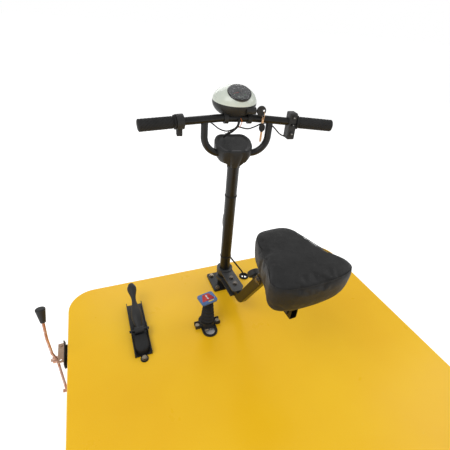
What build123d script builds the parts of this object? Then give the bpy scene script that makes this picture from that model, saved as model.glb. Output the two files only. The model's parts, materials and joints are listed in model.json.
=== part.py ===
from build123d import *
import os
from math import atan2, cos, degrees, hypot, radians, sin, tan

# Electric flatbed cart: sheet-steel deck, steering column with handlebar, swing-out saddle.
# Millimetres. The origin is on the ground under the steering axis; +X right, +Y forward, +Z up.
os.makedirs("parts", exist_ok=True)

# deck
deck_top = 560
deck_width = 1300
deck_length = 2000
deck_front = 135
deck_corner = 100
deck_sheet = 3
deck_skirt = 48
deck_edge = 9
deck_under = deck_top - deck_sheet
deck_rear = deck_front - deck_length

# chassis
wall = 3
rail_x = 300
rail_width = 40
rail_height = 80
rail_inset = 15
rail_inner = rail_x - rail_width / 2
rail_bottom = deck_under - rail_height
front_member_y = (85, 120)
front_member_height = 40
rear_member_width = 40
head_beam_y = (-102, -42)
head_beam_height = 60

# steering
rest_steer = -8
steerer_radius = 15
run_gap = 0.05
bearing_radius = 26
bearing_length = 14
head_radius = 34
head_bottom = 442
column_radius = 22
column_bore = 16.5
column_top = 1140
base_size = (114, 113, 8)
base_y = 15.5
socket_radius = 27
socket_top = 638
bolt_radius = 5
bolt_gap = 0.5
base_bolts = [(x, y) for x in (-38, 38) for y in (-28, 55)]

# front wheel and fork
front_tyre_radius = 200
front_tyre_width = 90
front_rim_radius = 127
axle_radius = 8
blade_x = (56, 68)
crown_height = 26

# rear wheels and axle
axle_y = -1400
rear_tyre_radius = 225
rear_tyre_width = 100
rear_rim_radius = 152
rear_wheel_x = 560
axle_end = 470
axle_tube_radius = 32
drum_radius = 88
spring_width = 30
spring_half = 400
spring_drop = 75
leaf_thickness = 7
spring_top = 286
eye_radius = 14
eye_bore = 7
hanger_plate = 4

# battery bay
tray_y = (-905, -555)
tray_z = (297, 490)
charge_bore = 10.5
charge_depth = 20
charge_x = -180
charge_z = 430

# handlebar, in the straight-ahead position
bar_z = deck_top + 743
bar_drop = 11
bar_radius = 12.7
bar_half = 319
bar_flat = 60
bar_sweep = 47
grip_radius = 19.5
grip_inner = 208
right_grip_inner = 200
u_radius = 12
u_half = 112
u_y = -8
u_bottom = deck_top + 625
u_bend = 60
cover_bottom = deck_top + 579
cover_height = 93
cover_shift = -4
cover_tilt = 16
cavity_radius = 33.5
pod_centre = (-5, 38, deck_top + 789)
pod_size = (74.5, 76, 51)
pod_wall = 3
pod_split_tilt = 5
pod_split_up = 4
dial_tilt = 26
dial_radius = 38.5
dial_depth = 8
lamp_radius = 32
lamp_z = deck_top + 785
clamp_x = 40
key_y = -24
key_z = deck_top + 773
key_x = 72
key_barrel = (20, 52)
ring_radius = 11
ring_wire = 1
key_hole = 4
spare_link = 16
link_hole = 2.2

# seat, before its rest angle about the column
rest_swing = 2.5
seat_gap = 0.3
arm_width = 25
arm_height = 38
arm_wall = 2.5
arm_low_z = 629
arm_rise = 60.5
arm_bend = 30
arm_top_z = 860
arm_start_y = -50
arm_knee_y = -170
arm_end_y = -476
saddle_centre = (6, -412)
saddle_turn = 0.5
saddle_z = (948, 1046)
pan_height = 8
knob_radius = 22
knob_along = 196
cross_along = 236

# gear selector
slot_x = -144
slot_y = -205.5
slot_size = (101, 48)
gear_y = -198
gear_pivot_z = 577
gear_plate_z = 700
bellows_z = (588, 688)

# parking brake
brake_x = -400
brake_pivot = (-165, 585)
brake_rise = 15.5
brake_length = 194
brake_tray_y = (-262, -13)
brake_tray_width = 61

# side lever
side_x = -690
side_pivot = (-152, 524)

# cable
grommet_at = (110, 15)
grommet_radius = 22
cable_radius = 3.5
tie_heights = (1012, 722)


def block(x_range, y_range, z_range):
    ranges = (x_range, y_range, z_range)
    size = [high - low for low, high in ranges]
    middle = [(low + high) / 2 for low, high in ranges]
    return Pos(*middle) * Box(*size)


def hollow_block(x_range, y_range, z_range, open_axis):
    # a rectangular tube, open at both ends of one axis
    ranges = [x_range, y_range, z_range]
    inner = []
    for index, (low, high) in enumerate(ranges):
        step = -1 if index == open_axis else wall
        inner.append((low + step, high - step))
    return block(*ranges) - block(*inner)


def rod(start, end, radius):
    a, b = Vector(*start), Vector(*end)
    return Plane(origin=(a + b) / 2, z_dir=b - a) * Cylinder(radius, (b - a).length)


def rod_x(x0, x1, y, z, radius):
    return rod((x0, y, z), (x1, y, z), radius)


def post(x, y, z0, z1, radius):
    return rod((x, y, z0), (x, y, z1), radius)


def round_ends(shape, radius):
    return fillet(shape.edges().filter_by(GeomType.CIRCLE), radius)


def hexagon(x, y, z, height, radius):
    return Pos(x, y, z) * extrude(RegularPolygon(radius, 6), height)


def hex_bolt(x, y, head_z, grip):
    # head and washer above head_z, nut below the grip
    bolt = post(x, y, head_z - grip - 10, head_z + 2, bolt_radius)
    bolt += post(x, y, head_z, head_z + 2, bolt_radius + 5)
    bolt += hexagon(x, y, head_z + 2, 6, bolt_radius + 3.5)
    return bolt + hexagon(x, y, head_z - grip - 8, 8, bolt_radius + 3.5)


def round_tube(path, radius, bore=0):
    start = Plane(origin=path @ 0, z_dir=path % 0)
    section = start * Circle(radius)
    if bore:
        section -= start * Circle(bore)
    return sweep(section, path=path)


def cable(points, radius):
    radii = []
    for a, b, c in zip(points, points[1:], points[2:]):
        run, after = Vector(*b) - Vector(*a), Vector(*c) - Vector(*b)
        turn = radians(run.get_angle(after))
        radii.append(0.45 * min(run.length, after.length) / tan(turn / 2))
    print("cable radii", [round(r) for r in radii])
    return round_tube(FilletPolyline(*points, radius=radii), radius)


def save(name, shape, frame=Rot(0, 0, 0)):
    pieces = shape if isinstance(shape, list) else [shape]
    export_step(Compound([solid for piece in pieces for solid in (frame * piece).solids()]), f"parts/{name}.step")


# ---- deck and chassis ----

def deck_shell(inset):
    size = (deck_width - 2 * inset, deck_length - 2 * inset)
    outline = RectangleRounded(*size, deck_corner - inset)
    low = deck_top - deck_skirt - (1 if inset else 0)
    shell = Pos(0, deck_front - deck_length / 2, low) * extrude(outline, deck_top - inset - low)
    return fillet(shell.faces().sort_by(Axis.Z)[-1].edges(), deck_edge - inset)


def slot_shape(grow, z0, z1):
    outline = SlotOverall(slot_size[0] + 2 * grow, slot_size[1] + 2 * grow, rotation=90)
    return Pos(slot_x, slot_y, z0) * extrude(outline, z1 - z0)


def deck_plate():
    plate = deck_shell(0) - deck_shell(deck_sheet)
    plate -= post(0, 0, deck_under - 1, deck_top + 1, column_radius + 2)
    plate -= post(*grommet_at, deck_under - 1, deck_top + 1, grommet_radius - 3)
    plate -= slot_shape(0, deck_under - 1, deck_top + 1)
    for x, y in base_bolts + brake_bolts + gear_bolts:
        plate -= post(x, y, deck_under - 1, deck_top + 1, bolt_radius + bolt_gap)
    return plate


def side_rail(side):
    x_range = (side * rail_x - rail_width / 2, side * rail_x + rail_width / 2)
    y_range = (deck_rear + rail_inset, deck_front - rail_inset)
    rail = hollow_block(x_range, y_range, (rail_bottom, deck_under), 1)
    half = spring_width / 2 + 0.5
    for end in (-1, 1):
        y = axle_y + end * eye_place()[0]
        z = eye_place()[1]
        for cheek in (-1, 1):
            inner = side * rail_x + cheek * half
            cheek_x = sorted((inner, inner + cheek * hanger_plate))
            rail += block(cheek_x, (y - 20, y + 20), (z - 20, rail_bottom))
        rail += rod_x(side * rail_x - half, side * rail_x + half, y, z, eye_bore - run_gap)
    return rail


def cross_member(y_range, height):
    return hollow_block((-rail_inner, rail_inner), y_range, (deck_under - height, deck_under), 0)


def steering_head():
    head = cross_member(head_beam_y, head_beam_height)
    head += post(0, 0, head_bottom, deck_under, head_radius)
    head += block((-12, 12), (head_beam_y[1] - 1, -20), (head_bottom + 20, deck_under - 12))
    head -= post(0, 0, head_bottom - 1, deck_under + 1, column_radius)
    for low in (head_bottom, deck_under - bearing_length):
        head -= post(0, 0, low, low + bearing_length, bearing_radius)
    return head


def bearing(start, end):
    return rod(start, end, bearing_radius) - rod(start, end, steerer_radius + run_gap)


def bearings():
    rings = []
    for low in (head_bottom, deck_under - bearing_length):
        rings.append(bearing((0, 0, low), (0, 0, low + bearing_length)))
    bush = post(0, 0, column_top - 30, column_top, column_bore)
    rings.append(bush - post(0, 0, column_top - 31, column_top + 1, steerer_radius + run_gap))
    for side in (-1, 1):
        start = (side * (axle_end - bearing_length), axle_y, rear_tyre_radius)
        rings.append(bearing(start, (side * axle_end, axle_y, rear_tyre_radius)))
    return rings


def column_tube():
    base = Pos(0, base_y, deck_top) * extrude(RectangleRounded(base_size[0], base_size[1], 9), base_size[2])
    base += post(0, 0, deck_top, socket_top, socket_radius)
    base += post(0, 0, deck_top, column_top, column_radius)
    base += post(0, 0, cover_bottom - 9, cover_bottom - 2, column_radius + 2)
    base -= post(0, 0, deck_top - 1, column_top + 1, column_bore)
    for x, y in base_bolts:
        base -= post(x, y, deck_top - 1, deck_top + 20, bolt_radius + bolt_gap)
    return base


def deck_bolts():
    bolts = [hex_bolt(x, y, deck_top + base_size[2], base_size[2] + deck_sheet) for x, y in base_bolts]
    bolts += [hex_bolt(x, y, deck_top + wall, wall + deck_sheet) for x, y in brake_bolts]
    bolts += [hex_bolt(x, y, deck_top + 4, 4 + deck_sheet) for x, y in gear_bolts]
    return bolts


def column_grommet():
    ring = post(*grommet_at, deck_top, deck_top + 6, grommet_radius)
    ring = fillet(ring.faces().sort_by(Axis.Z)[-1].edges(), 3)
    ring += post(*grommet_at, deck_under - 3, deck_top, grommet_radius - 3)
    ring += post(*grommet_at, deck_under - 5, deck_under, grommet_radius)
    return ring - post(*grommet_at, deck_under - 6, deck_top + 7, 14)


def slot_trim():
    trim = slot_shape(5, deck_top, deck_top + 4) + slot_shape(0, deck_under, deck_top)
    trim += slot_shape(3, deck_under - 4, deck_under)
    return trim - slot_shape(-4, deck_under - 5, deck_top + 5)


def column_cable():
    # down the front of the column, out to the left between the two ties, then across to the grommet
    run = column_radius + cable_radius + 2.5
    turns = [(66, column_top + 2), (66, 1000), (96, 950), (124, 890), (98, 830), (70, 770), (62, 724)]
    points = [(run * cos(radians(turn)), run * sin(radians(turn)), z) for turn, z in turns]
    points += [(36, 23, 684), (100, 15, 590), (110, 15, 560), (110, 15, 525)]
    run_down = cable(points, cable_radius)
    return [run_down] + [cable_tie(run_down, z) for z in tie_heights]


def cable_tie(run_down, z):
    # a band round the column with a loop round the cable
    slab = block((-60, 60), (-60, 60), (z, z + 5))
    centre = (run_down & slab).center()
    band = post(0, 0, z, z + 5, column_radius + 1.6)
    band += post(centre.X, centre.Y, z, z + 5, cable_radius + 1.8)
    half = centre / 2
    turn = degrees(atan2(centre.Y, centre.X))
    band += Pos(half.X, half.Y, z + 2.5) * Rot(0, 0, turn) * Box(hypot(centre.X, centre.Y), 6, 5)
    return band - post(0, 0, z - 1, z + 6, column_radius) - run_down


def battery_tray():
    tray = block((-rail_inner, rail_inner), tray_y, tray_z)
    tray -= block((wall - rail_inner, rail_inner - wall), (tray_y[0] + wall, tray_y[1] - wall),
                  (tray_z[0] + wall, tray_z[1] + 1))
    return tray


def battery_pack():
    blocks = []
    floor = tray_z[0] + wall
    middle = sum(tray_y) / 2
    depth = (tray_y[1] - tray_y[0]) / 2 - wall - 6
    for side in (-1, 1):
        for end in (-1, 1):
            x_range = sorted((side * 3, side * (rail_inner - 8)))
            y_range = sorted((middle + end * 3, middle + end * depth))
            cell = fillet(block(x_range, y_range, (floor, floor + 178)).edges().filter_by(Axis.Z), 6)
            for x in (side * 40, side * 225):
                cell += post(x, middle + end * depth / 2, floor + 178, floor + 188, 8)
            blocks.append(cell)
    return blocks


def motor_controller():
    box = block((-95, 95), (tray_y[1], tray_y[1] + 45), (330, 440))
    for index in range(10):
        x = -90 + index * 20
        box += block((x - 2, x + 2), (tray_y[1] + 45, tray_y[1] + 60), (334, 436))
    return box


def charge_socket():
    y = tray_y[0]
    socket = rod((charge_x, y, charge_z), (charge_x, y - 30, charge_z), 20)
    socket += block((charge_x - 28, charge_x + 28), (y - 4, y), (charge_z - 28, charge_z + 28))
    return socket - rod((charge_x, y - 30 + charge_depth, charge_z), (charge_x, y - 31, charge_z), charge_bore)


# ---- rear axle, springs, wheels ----

def leaf_circle():
    radius = (spring_half ** 2 + spring_drop ** 2) / (2 * spring_drop)
    return radius, spring_top + radius


def eye_place():
    # distance from the axle and height of a spring eye's centre
    radius, centre_z = leaf_circle()
    middle = radius + leaf_thickness / 2
    half = spring_half + 4
    return half, centre_z - (middle ** 2 - half ** 2) ** 0.5


def leaf_springs():
    leaves = []
    radius, centre_z = leaf_circle()
    for side in (-1, 1):
        x_range = (side * rail_x - spring_width / 2, side * rail_x + spring_width / 2)
        for index in range(3):
            half = spring_half - index * 110
            inner = radius + index * leaf_thickness
            leaf = rod_x(*x_range, axle_y, centre_z, inner + leaf_thickness)
            leaf -= rod_x(*x_range, axle_y, centre_z, inner)
            leaf &= block(x_range, (axle_y - half, axle_y + half), (spring_top - 40, centre_z))
            if index == 0:
                for end in (-1, 1):
                    y = axle_y + end * eye_place()[0]
                    leaf += rod_x(*x_range, y, eye_place()[1], eye_radius)
                for end in (-1, 1):
                    y = axle_y + end * eye_place()[0]
                    leaf -= rod_x(*x_range, y, eye_place()[1], eye_bore)
            leaves.append(leaf)
    return leaves


def rear_axle_housing():
    z = rear_tyre_radius
    housing = rod_x(-axle_end, axle_end, axle_y, z, axle_tube_radius)
    housing += round_ends(rod_x(-62, 62, axle_y, z, 88), 25)
    housing += rod((0, axle_y, z), (0, axle_y + 110, z), 58)
    for side in (-1, 1):
        pad_x = (side * rail_x - 18, side * rail_x + 18)
        pad_top = spring_top - 3 * leaf_thickness
        housing += block(pad_x, (axle_y - 45, axle_y + 45), (z, pad_top))
        housing += rod_x(side * (axle_end - 6), side * (axle_end - 1), axle_y, z, drum_radius + 4)
    housing -= rod_x(-axle_end - 1, axle_end + 1, axle_y, z, steerer_radius + 2)
    for side in (-1, 1):
        housing -= rod_x(side * (axle_end - bearing_length), side * (axle_end + 1), axle_y, z, bearing_radius)
    return housing


def drive_motor():
    z = rear_tyre_radius
    motor = rod((0, axle_y + 110, z), (0, axle_y + 320, z), 72)
    for index in range(9):
        y = axle_y + 130 + index * 19
        motor += rod((0, y, z), (0, y + 5, z), 79)
    return motor + rod((0, axle_y + 320, z), (0, axle_y + 332, z), 40)


def tyre(x, y, radius, width, bore):
    shape = rod_x(x - width / 2, x + width / 2, y, radius, radius)
    return round_ends(shape, width * 0.3) - rod_x(x - width, x + width, y, radius, bore)


def rim(x, y, axle_z, radius, width, hub_x, hub_bore):
    shape = rod_x(x - width / 2, x + width / 2, y, axle_z, radius)
    shape -= rod_x(x - width, x + width, y, axle_z, radius - 8)
    shape += rod_x(x - 4, x + 4, y, axle_z, radius - 7)
    for index in range(8):
        angle = radians(index * 45)
        reach = radius * 0.68
        shape -= rod_x(x - 9, x + 9, y + reach * cos(angle), axle_z + reach * sin(angle), radius * 0.13)
    shape += rod_x(*hub_x, y, axle_z, 34)
    return shape - rod_x(hub_x[0] - 1, hub_x[1] + 1, y, axle_z, hub_bore)


def rear_rim(side):
    z = rear_tyre_radius
    hub = sorted((side * (axle_end + 8), side * (rear_wheel_x + 30)))
    wheel = rim(side * rear_wheel_x, axle_y, z, rear_rim_radius, 84, hub, steerer_radius)
    drum = rod_x(side * (axle_end + 3), side * (rear_wheel_x - 4), axle_y, z, drum_radius)
    drum -= rod_x(side * (axle_end + 2), side * (rear_wheel_x - 10), axle_y, z, drum_radius - 7)
    bore = rod_x(side * axle_end, side * (rear_wheel_x + 44), axle_y, z, steerer_radius)
    return [wheel + drum - bore, half_shaft(side)]


def half_shaft(side):
    z = rear_tyre_radius
    shaft = rod_x(side * 15, side * (rear_wheel_x + 44), axle_y, z, steerer_radius)
    nut = Plane(origin=(side * (rear_wheel_x + 30), axle_y, z), z_dir=(side, 0, 0))
    return shaft + extrude(nut * RegularPolygon(24, 6), 12)


def front_rim():
    hub = (2 - blade_x[0], blade_x[0] - 2)
    return rim(0, 0, front_tyre_radius, front_rim_radius, 74, hub, axle_radius + run_gap)


# ---- steered pieces, straight ahead ----

def bar_point(x):
    share = (abs(x) - bar_flat) / (bar_half - bar_flat)
    return (x, -bar_sweep * share, bar_z - bar_drop * share)


def bar_sleeve(x0, x1, outer, inner):
    return rod(bar_point(x0), bar_point(x1), outer) - rod(bar_point(x0), bar_point(x1), inner)


def bar_path():
    return FilletPolyline(*[bar_point(x) for x in (-bar_half, -bar_flat, bar_flat, bar_half)], radius=120)


def handlebar():
    return round_tube(bar_path(), bar_radius, bar_radius - 2)


def u_tube(radius, bore=0):
    top = bar_point(u_half)[2]
    corners = [(-u_half, u_y, top), (-u_half, u_y, u_bottom), (u_half, u_y, u_bottom), (u_half, u_y, top)]
    return round_tube(FilletPolyline(*corners, radius=u_bend), radius, bore)


def u_handle():
    return u_tube(u_radius, u_radius - 2) - round_tube(bar_path(), bar_radius)


def front_fork():
    top = front_tyre_radius * 2 + 14
    fork = block((-blade_x[1], blade_x[1]), (-26, 26), (top, top + crown_height))
    fork = fillet(fork.edges().filter_by(Axis.Z), 10)
    for side in (-1, 1):
        blade = block(sorted((side * blade_x[0], side * blade_x[1])), (-22, 22), (front_tyre_radius - 24, top))
        fork += blade
    fork += post(0, 0, top + crown_height, head_bottom - run_gap, steerer_radius + 6)
    fork += post(0, 0, top + crown_height, u_bottom, steerer_radius)
    fork -= rod_x(-blade_x[1] - 1, blade_x[1] + 1, 0, front_tyre_radius, axle_radius)
    return fork - u_tube(u_radius)


def front_axle():
    reach = blade_x[1]
    axle = rod_x(-reach - 16, reach + 16, 0, front_tyre_radius, axle_radius)
    for side in (-1, 1):
        nut = Plane(origin=(side * reach, 0, front_tyre_radius), z_dir=(side, 0, 0))
        axle += extrude(nut * RegularPolygon(14, 6), 11)
    return axle


def stem_cover():
    half = [(48, 60), (66, 30), (64, -12), (44, -45)]
    corners = half + [(-x, y) for x, y in reversed(half)]
    outline = make_face(Polyline(*corners, corners[0]))
    outline = Pos(cover_shift, 0) * fillet(outline.vertices(), 9)
    shoulder = cover_bottom + 55
    cover = loft([Pos(0, 0, cover_bottom) * scale(outline, by=0.76), Pos(0, 0, shoulder) * outline])
    cover += Pos(0, 0, shoulder) * extrude(outline, cover_height - 55)
    slope = Pos(0, 60, cover_bottom + cover_height) * Rot(cover_tilt, 0, 0)
    cover -= slope * Pos(0, 0, 60) * Box(300, 400, 120)
    cover -= post(0, 0, cover_bottom - 1, column_top + 6, cavity_radius)
    cover -= post(0, 0, cover_bottom - 1, u_bottom + 1, steerer_radius + 0.2)
    return cover - u_tube(u_radius + 0.2)


def right_grip():
    grip = rod(bar_point(right_grip_inner), bar_point(bar_half + 5), grip_radius)
    grip += rod(bar_point(right_grip_inner), bar_point(right_grip_inner + 5), grip_radius + 3)
    return grip - rod(bar_point(right_grip_inner - 1), bar_point(bar_half + 0.5), bar_radius)


def throttle_grip():
    grip = rod(bar_point(-grip_inner), bar_point(-bar_half - 5), grip_radius)
    grip += rod(bar_point(-grip_inner), bar_point(-grip_inner - 6), grip_radius + 4)
    return grip - rod(bar_point(1 - grip_inner), bar_point(-bar_half - 0.5), bar_radius + run_gap)


def throttle_housing():
    inner, outer = bar_point(-grip_inner + 24), bar_point(-grip_inner + 1)
    housing = rod(outer, inner, grip_radius + 4.5)
    middle = bar_point(-grip_inner + 12)
    lug = Pos(middle[0], middle[1] + 2, middle[2] - 28) * Box(19, 24, 32)
    housing += fillet(lug.edges(), 3)
    return housing - round_tube(bar_path(), bar_radius)


def switch_centre():
    return bar_point(184)


def switch_housing():
    x, y, z = switch_centre()
    body = fillet((Pos(x, y, z - 12) * Box(26, 38, 88)).edges(), 4)
    body -= round_tube(bar_path(), bar_radius)
    face = y - 19
    body -= rod((x, face - 1, z + 18), (x, face + 8, z + 18), 6.3)
    body -= Pos(x, face + 3, z - 6) * Box(16.6, 8, 8.6)
    return body - rod((x, face - 1, z - 36), (x, face + 8, z - 36), 7.3)


def switch_button(drop, radius):
    x, y, z = switch_centre()
    face = y - 19
    return rod((x, face - 4, z + drop), (x, face + 4, z + drop), radius)


def light_slider():
    x, y, z = switch_centre()
    face = y - 19
    slider = Pos(x, face + 2, z - 6) * Box(9, 5, 8)
    return slider + Pos(x, face - 2, z - 6) * Box(6, 5, 6)


def ellipsoid(shrink):
    size = tuple(length - shrink for length in pod_size)
    return Pos(*pod_centre) * scale(Sphere(1), by=size)


def lamp_rod(radius):
    return rod((pod_centre[0], 60, lamp_z), (pod_centre[0], 160, lamp_z), radius)


def pod_half(upper):
    sign = 1 if upper else -1
    split = Pos(*pod_centre) * Rot(pod_split_tilt, 0, 0)
    keep = split * Pos(0, 0, pod_split_up + sign * 150) * Box(300, 300, 300)
    half = (ellipsoid(0) - ellipsoid(pod_wall)) & keep
    half -= lamp_rod(lamp_radius + 0.2)
    if upper:
        half -= rod_x(*key_barrel, key_y, key_z, 11.2)
    return half - dial_frame() * Pos(0, 0, 17) * Cylinder(dial_radius + 0.2, 60)


def dial_frame():
    # plane of the dial's face, facing up and back
    n = (-sin(radians(dial_tilt)), cos(radians(dial_tilt)))
    a, b = pod_size[1], pod_size[2]
    reach = ((a * n[0]) ** 2 + (b * n[1]) ** 2) ** 0.5
    y = pod_centre[1] + a * a * n[0] / reach - n[0] * dial_depth
    z = pod_centre[2] + b * b * n[1] / reach - n[1] * dial_depth
    return Pos(pod_centre[0] + 3, y, z) * Rot(dial_tilt, 0, 0)


def pod_base():
    base = pod_half(False)
    for side in (-1, 1):
        x = side * clamp_x
        post_up = block((x - 7, x + 7), (-9, 9), (bar_z + 6, bar_z + 40)) - ellipsoid(pod_wall / 2)
        ring = rod_x(x - 7, x + 7, 0, bar_z, bar_radius + 5)
        base += ring + post_up.solids().sort_by(Axis.Z)[0]
    barrel = rod_x(*key_barrel, key_y, key_z, 11) - ellipsoid(pod_wall)
    base += barrel.solids().sort_by(Axis.X)[-1]
    base -= rod_x(key_x - 28, key_x - 19, key_y, key_z, 5)
    return base - round_tube(bar_path(), bar_radius)


def dial():
    return dial_frame() * Pos(0, 0, -3) * Cylinder(dial_radius, 6)


def headlight():
    return (ellipsoid(0) - ellipsoid(4)) & lamp_rod(lamp_radius)


def ignition_key():
    shaft = rod_x(key_x - 27, key_x - 8, key_y, key_z, 3)
    bow = rod((key_x, key_y - 2.5, key_z), (key_x, key_y + 2.5, key_z), 16)
    bow = fillet(bow.edges().filter_by(GeomType.CIRCLE), 1.5)
    hole_x = key_x + 9
    return shaft + bow - rod((hole_x, key_y - 4, key_z), (hole_x, key_y + 4, key_z), key_hole)


def spare_key():
    # ring through the key's hole with a second key hanging from it
    x = key_x + 9
    ring_z = key_z - key_hole + ring_wire + seat_gap - ring_radius
    ring = Pos(x, key_y, ring_z) * Rot(0, 90, 0) * Torus(ring_radius, ring_wire)
    hole_z = ring_z - ring_radius + ring_wire + seat_gap - link_hole
    bow_z = hole_z - spare_link - 13
    face = Plane(origin=(x, key_y + 2, bow_z), x_dir=(1, 0, 0), z_dir=(0, -1, 0))
    key = extrude(face * Ellipse(10.5, 14), 4)
    key += block((x - 3.5, x + 3.5), (key_y - 1.2, key_y + 1.2), (bow_z - 48, bow_z - 12))
    link = block((x - 3.5, x + 3.5), (key_y - 0.8, key_y + 0.8), (bow_z + 12, hole_z + 3.5))
    return [ring, key + link - rod((x, key_y - 3, hole_z), (x, key_y + 3, hole_z), link_hole)]


def bar_cables():
    loom = cable([(2, -18, bar_z + 2), (-2, -23, bar_z - 20), (-16, 2, bar_z - 47), (-30, 28, bar_z - 65),
                  (-33, 36, bar_z - 75)], 4)
    throttle = cable([(-186.6, -6.8, 1298), (-150, 0, 1300), (-112, 10, 1294), (-88, 7, 1287),
                      (-62, -6, 1268), (-38, -16, 1263), (-16, -20, 1272), (-2, -22, 1282)], 2.2)
    switch = cable([(169.8, -26, bar_z - 55), (148, -27, bar_z - 47), (131, -14, bar_z - 29),
                    (120, 8, bar_z - 19), (92, 7, bar_z - 18), (60, -8, bar_z - 27), (34, -17, bar_z - 32),
                    (-2, -22, bar_z - 22)], 2.2)
    return [loom, throttle - loom, switch - loom]


# ---- seat ----

def arm_top_knee():
    return arm_knee_y - (arm_top_z - arm_low_z) / tan(radians(arm_rise))


def arm_path():
    knees = [(0, arm_knee_y, arm_low_z), (0, arm_top_knee(), arm_top_z)]
    return FilletPolyline((0, arm_start_y, arm_low_z), *knees, (0, arm_end_y, arm_top_z), radius=arm_bend)


def arm_point(along, out=0):
    # a point beside the rising part of the arm, out towards its front face
    up, back = sin(radians(arm_rise)), cos(radians(arm_rise))
    return (0, arm_knee_y - along * back + out * up, arm_low_z + along * up + out * back)


def seat_arm():
    path = arm_path()
    start = Plane(origin=path @ 0, x_dir=(1, 0, 0), z_dir=path % 0)
    section = start * RectangleRounded(arm_width, arm_height, 4)
    section -= start * RectangleRounded(arm_width - 2 * arm_wall, arm_height - 2 * arm_wall, 1.5)
    arm = sweep(section, path=path)
    for y in seat_bolt_y:
        arm -= post(0, y, arm_low_z - 30, arm_low_z + 30, bolt_radius + bolt_gap)
    pin = arm_point(cross_along)
    arm -= rod_x(-30, 30, pin[1], pin[2], bolt_radius + bolt_gap)
    return arm - rod(arm_point(knob_along, 10), arm_point(knob_along, 30), bolt_radius + run_gap)


def seat_bracket():
    low, high = arm_low_z - arm_height / 2, arm_low_z + arm_height / 2
    plate = Polyline((-27, 0), (27, 0), (27, -132), (12, -150), (-20, -150), (-27, -142), (-27, 0))
    bracket = Pos(0, 0, high) * extrude(make_face(plate), 6)
    bracket += post(0, 0, socket_top + seat_gap, high + 10, column_radius + 12)
    bracket -= post(0, 0, low, high + 20, column_radius + seat_gap)
    lower = block((-25, 25), (-125, 0), (low - 6, low)) + post(0, 0, low - 6, low + 6, socket_radius + 9)
    lower -= post(0, 0, low - 8, low + 8, socket_radius + seat_gap)
    pair = [bracket, lower]
    for y in seat_bolt_y:
        hole = post(0, y, low - 20, high + 20, bolt_radius + bolt_gap)
        pair = [piece - hole for piece in pair]
    return pair


def seat_bolts():
    high = arm_low_z + arm_height / 2 + 6
    bolts = [hex_bolt(0, y, high, arm_height + 12) for y in seat_bolt_y]
    pin = arm_point(cross_along)
    half = arm_width / 2
    cross = rod_x(-half - 4, half + 4, pin[1], pin[2], bolt_radius)
    for side in (-1, 1):
        head = Plane(origin=(side * half, pin[1], pin[2]), z_dir=(side, 0, 0))
        cross += extrude(head * Rectangle(24, 24), 3)
        cross += extrude(head * RegularPolygon(9, 6), 9)
    return bolts + [cross]


def seat_knob():
    shape = rod(arm_point(knob_along, 26), arm_point(knob_along, 48), knob_radius)
    shape = fillet(shape.edges().filter_by(GeomType.CIRCLE), 5)
    shape += rod(arm_point(knob_along, 20), arm_point(knob_along, 27), 12)
    return shape + rod(arm_point(knob_along, 12), arm_point(knob_along, 27), bolt_radius)


def saddle_outline(grow):
    right = [(0, 130), (40, 126), (64, 106), (76, 75), (84, 45), (92, 13), (106, -30), (120, -62), (127, -82),
             (122, -104), (100, -118), (60, -127), (0, -130)]
    left = [(-x, y) for x, y in right[-2:0:-1]]
    return make_face(scale(Spline(*right, *left, periodic=True), by=grow))


def on_saddle(shape):
    return Pos(*saddle_centre) * Rot(0, 0, saddle_turn) * shape


def saddle():
    low, high = saddle_z
    levels = [(low, 0.9), (low + 18, 0.95), (low + 64, 0.99), (low + 84, 0.96), (high, 0.86)]
    return on_saddle(loft([Pos(0, 0, z) * saddle_outline(grow) for z, grow in levels]))


def saddle_pan():
    # a plate under the saddle on a pedestal that straddles the arm
    arm_top = arm_top_z + arm_height / 2
    low = saddle_z[0] - pan_height
    pan = on_saddle(Pos(0, 0, low) * extrude(saddle_outline(0.84), pan_height))
    pan += block((-32, 32), (-470, -350), (arm_top, low))
    for y in (-370, -450):
        for side in (-1, 1):
            cheek = sorted((side * arm_width / 2, side * (arm_width / 2 + 4)))
            pan += block(cheek, (y - 14, y + 14), (arm_top - 26, arm_top + 1))
    return pan


# ---- gear selector ----

def gear_housing():
    top = deck_top + 6
    housing = block((slot_x - 20, slot_x + 20), (gear_y - 27, gear_y + 27), (top - 2, top))
    housing += post(slot_x, gear_y, top - 2, bellows_z[0], 27)
    for x, _ in gear_bolts:
        side = 1 if x > slot_x else -1
        housing += block(sorted((slot_x + side * 20, x)), (gear_y - 13, gear_y + 13), (top, top + 10))
        housing += block((x - 9, x + 9), (gear_y - 13, gear_y + 13), (deck_top, top + 10))
        housing -= post(x, gear_y, deck_top + 4, top + 30, bolt_radius + 6.5)
        housing -= post(x, gear_y, deck_top - 1, top + 30, bolt_radius + bolt_gap)
    housing -= post(slot_x, gear_y, top - 10, bellows_z[0] + 1, 19)
    return housing - rod_x(slot_x - 30, slot_x + 30, gear_y, gear_pivot_z, bolt_radius + run_gap)


def gear_lever():
    lever = post(slot_x, gear_y, 490, gear_plate_z, 6)
    lever += rod_x(slot_x - 26.5, slot_x + 26.5, gear_y, gear_pivot_z, bolt_radius)
    return lever + post(slot_x, gear_y, 484, 496, 10)


def gear_plate():
    plate = Pos(-5, 0) * Rot(0, 0, 11) * extrude(RectangleRounded(64, 52, 9), 6)
    plate += Pos(0, 0, -8) * extrude(Circle(15), 8)
    return Pos(slot_x, gear_y, gear_plate_z) * (plate - Pos(0, 0, -9) * extrude(Circle(6), 9))


def gear_bellows():
    low, high = bellows_z
    steps = 6
    pitch = (high - low) / steps
    profile = [(8, low)]
    for index in range(steps):
        outer = 27 - index * 1.8
        z = low + index * pitch
        profile += [(outer - 5, z), (outer, z + pitch * 0.5)]
    profile += [(14, high), (8, high), (8, low)]
    face = make_face(Plane.XZ * Polyline(*profile))
    return Pos(slot_x, gear_y, 0) * revolve(face, Axis.Z)


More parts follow.
